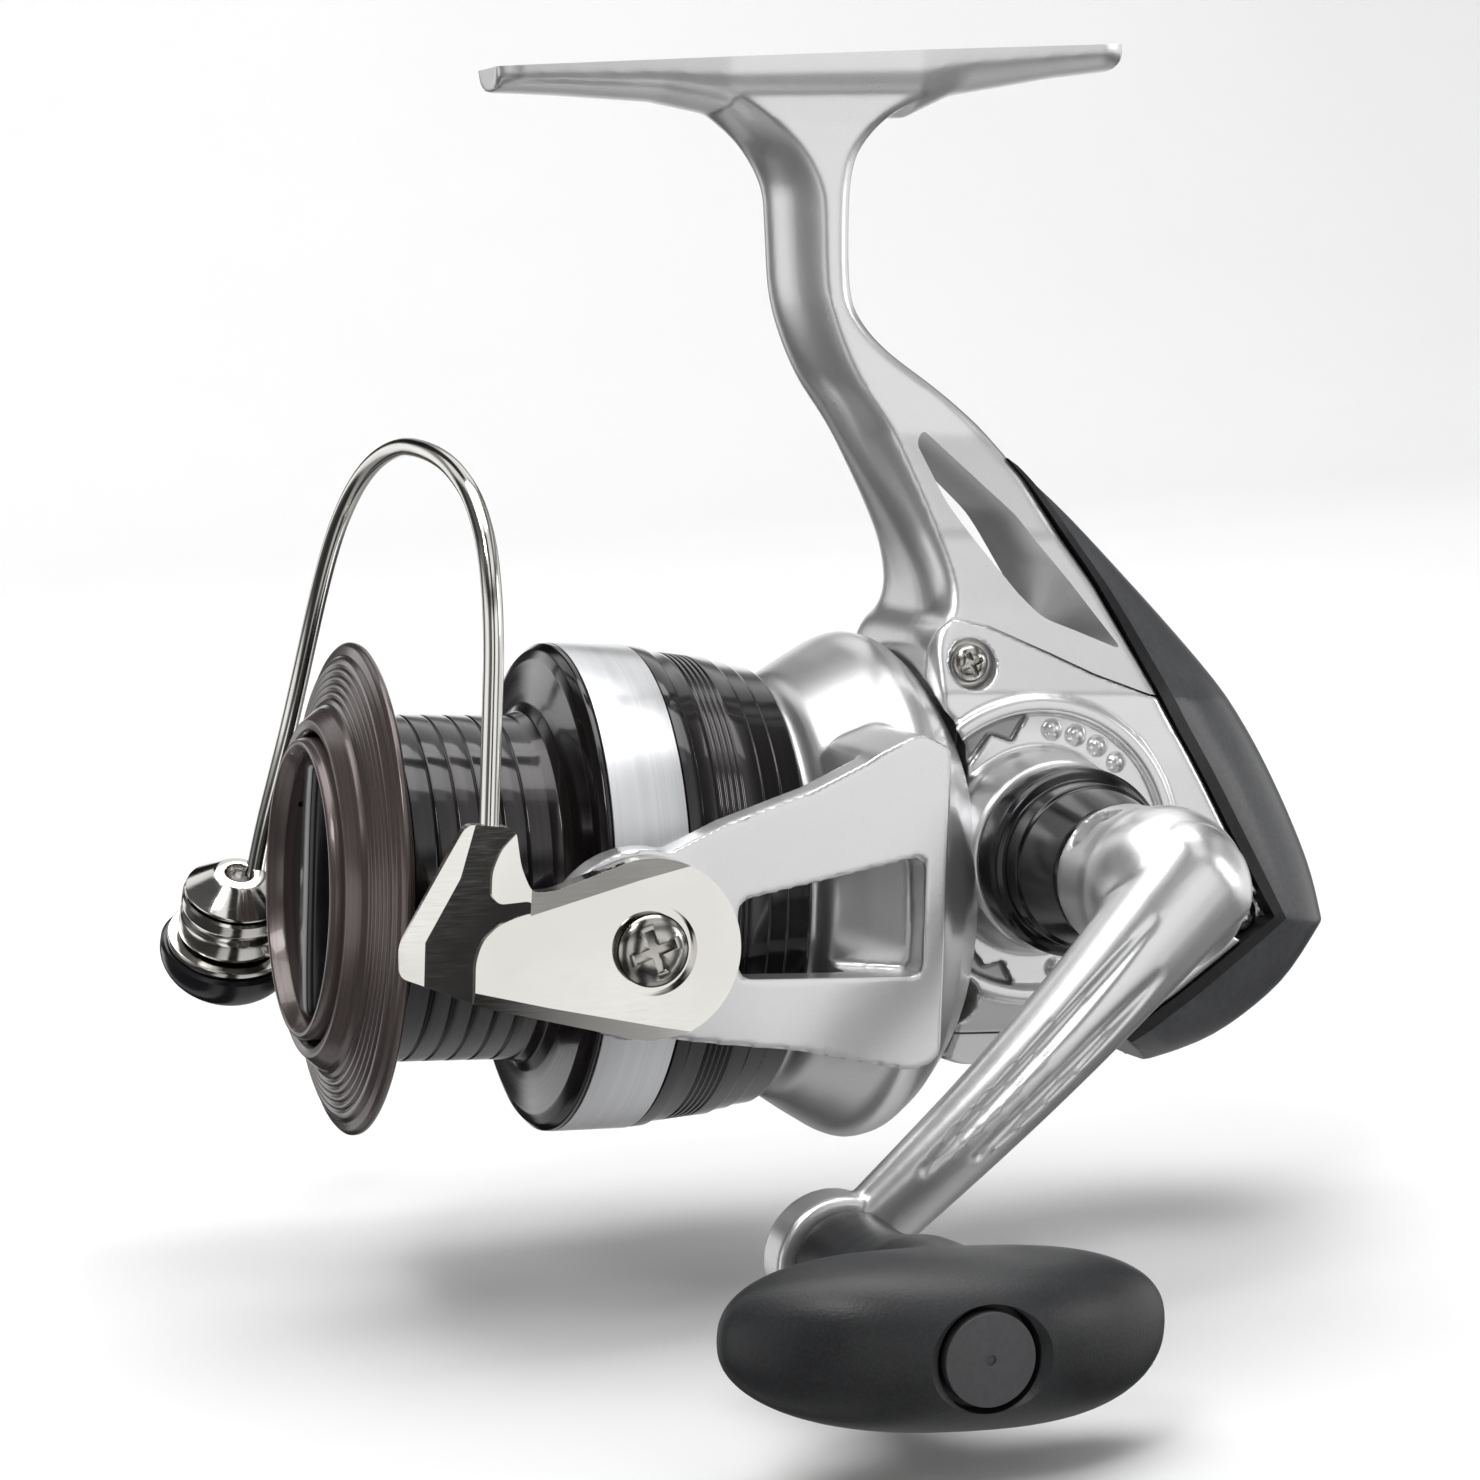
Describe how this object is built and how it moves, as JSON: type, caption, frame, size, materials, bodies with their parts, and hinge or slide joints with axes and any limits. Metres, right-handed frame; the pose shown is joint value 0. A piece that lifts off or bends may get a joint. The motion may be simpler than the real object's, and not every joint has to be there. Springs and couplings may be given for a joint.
{
  "type": "spinning reel",
  "caption": "Front-drag spinning reel with folding bail, turning rotor, sliding spool and a single cranked handle with a T-shaped knob.",
  "frame": {"origin": "centre of the flat seating face of the rod foot", "axes": "+Z is the outward normal of the foot's seat, towards the rod; +X runs along the foot towards the butt end of the rod; -Y is the handle side"},
  "size_m": [0.1154, 0.1254, 0.1172],
  "materials": {
    "body_paint": "die casting with satin metallic silver paint",
    "rotor_paint": "die casting with satin metallic silver paint",
    "handle_paint": "die casting with satin metallic silver paint",
    "dark_plastic": "satin moulded plastic",
    "screw_steel": "bright nickel",
    "bearing_steel": "ground",
    "gear_alloy": "cast, machined teeth",
    "brass_parts": "machined",
    "bail_chrome": "polished nickel",
    "black_gloss": "gloss",
    "black_rubber": "matt",
    "spool_paint": "gloss metallic dark brown paint with fine turned grooves",
    "band_silver": "satin silver",
    "washer_felt": "oiled felt",
    "clip_steel": "spring steel",
    "knob_soft": "soft-touch",
    "grey_plastic": "semi-gloss"
  },
  "bodies": {
    "frame": {"body_frame": "body_paint", "side_cover": "body_paint", "rear_guard": "dark_plastic", "cover_screws": "screw_steel", "guard_screw": "screw_steel", "drive_bearing_near": "bearing_steel", "drive_bearing_far": "bearing_steel", "oscillation_axle": "screw_steel", "guide_rod": "screw_steel", "pinion_bearing": "bearing_steel", "oneway_clutch": "bearing_steel", "rotor_seal_ring": "black_rubber"},
    "crank": {"drive_gear": "gear_alloy", "feed_gear": "bearing_steel", "handle_collar": "black_gloss", "handle_shaft": "screw_steel", "handle_arm": "handle_paint", "fold_pin": "screw_steel", "handle_cap": "grey_plastic", "knob_shaft": "screw_steel"},
    "rotor": {"rotor": "rotor_paint", "pinion_gear": "brass_parts", "rotor_nut": "brass_parts", "bail_screw_near": "bail_chrome", "bail_screw_far": "bail_chrome", "bail_spring": "screw_steel"},
    "oscillator": {"oscillation_gear": "gear_alloy"},
    "shaft": {"main_shaft": "screw_steel", "oscillation_slider": "gear_alloy", "slider_screw": "screw_steel", "spool_sleeve": "brass_parts", "click_gear": "bearing_steel"},
    "spool": {"spool": "spool_paint", "spool_band": "band_silver", "drag_washers": "washer_felt", "drag_clip": "clip_steel"},
    "drag": {"drag_knob": "black_gloss", "drag_nut": "brass_parts", "drag_spring": "screw_steel"},
    "bail": {"bail_holder": "bail_chrome", "roller_arm": "bail_chrome", "bail_wire": "bail_chrome", "wire_cone": "bail_chrome", "roller_screw": "screw_steel", "roller_cap": "black_gloss"},
    "roller": {"line_roller": "bail_chrome"},
    "grip": {"knob": "knob_soft", "knob_plug": "grey_plastic"}
  },
  "joints": [
    {"name": "crank_turn", "type": "hinge", "parent": "frame", "child": "crank", "pos_m": [0.01512, 0, -0.0795], "axis": [0, 1, 0], "continuous": true},
    {"name": "rotor_spin", "type": "hinge", "parent": "frame", "child": "rotor", "pos_m": [-0.00526, 0, -0.08267], "axis": [0.9957, 0, -0.0924], "continuous": true},
    {"name": "oscillator_spin", "type": "hinge", "parent": "frame", "child": "oscillator", "pos_m": [0.0271, 0, -0.08567], "axis": [0, 1, 0], "continuous": true},
    {"name": "spool_stroke", "type": "slide", "parent": "frame", "child": "shaft", "axis": [-0.9957, 0, 0.0924], "range_m": [0, 0.015]},
    {"name": "drag_slip", "type": "hinge", "parent": "shaft", "child": "spool", "pos_m": [-0.04011, 0, -0.07944], "axis": [0.9957, 0, -0.0924], "continuous": true},
    {"name": "drag_setting", "type": "hinge", "parent": "shaft", "child": "drag", "pos_m": [-0.05305, 0, -0.07823], "axis": [-0.9957, 0, 0.0924], "range_deg": [-360, 360]},
    {"name": "bail_flip", "type": "hinge", "parent": "rotor", "child": "bail", "pos_m": [-0.03082, 0, -0.0821], "axis": [0, -1, 0], "range_deg": [0, 110]},
    {"name": "roller_spin", "type": "hinge", "parent": "bail", "child": "roller", "pos_m": [-0.0568, 0.03375, -0.08508], "axis": [0.08, -0.5, 0.8623], "continuous": true},
    {"name": "knob_spin", "type": "hinge", "parent": "crank", "child": "grip", "pos_m": [-0.01975, -0.065, -0.1095], "axis": [0, 1, 0], "continuous": true}
  ],
  "couplings": [
    {"joint": "rotor_spin", "follows": "crank_turn", "ratio": -4.875},
    {"joint": "oscillator_spin", "follows": "crank_turn", "ratio": -0.40625}
  ]
}
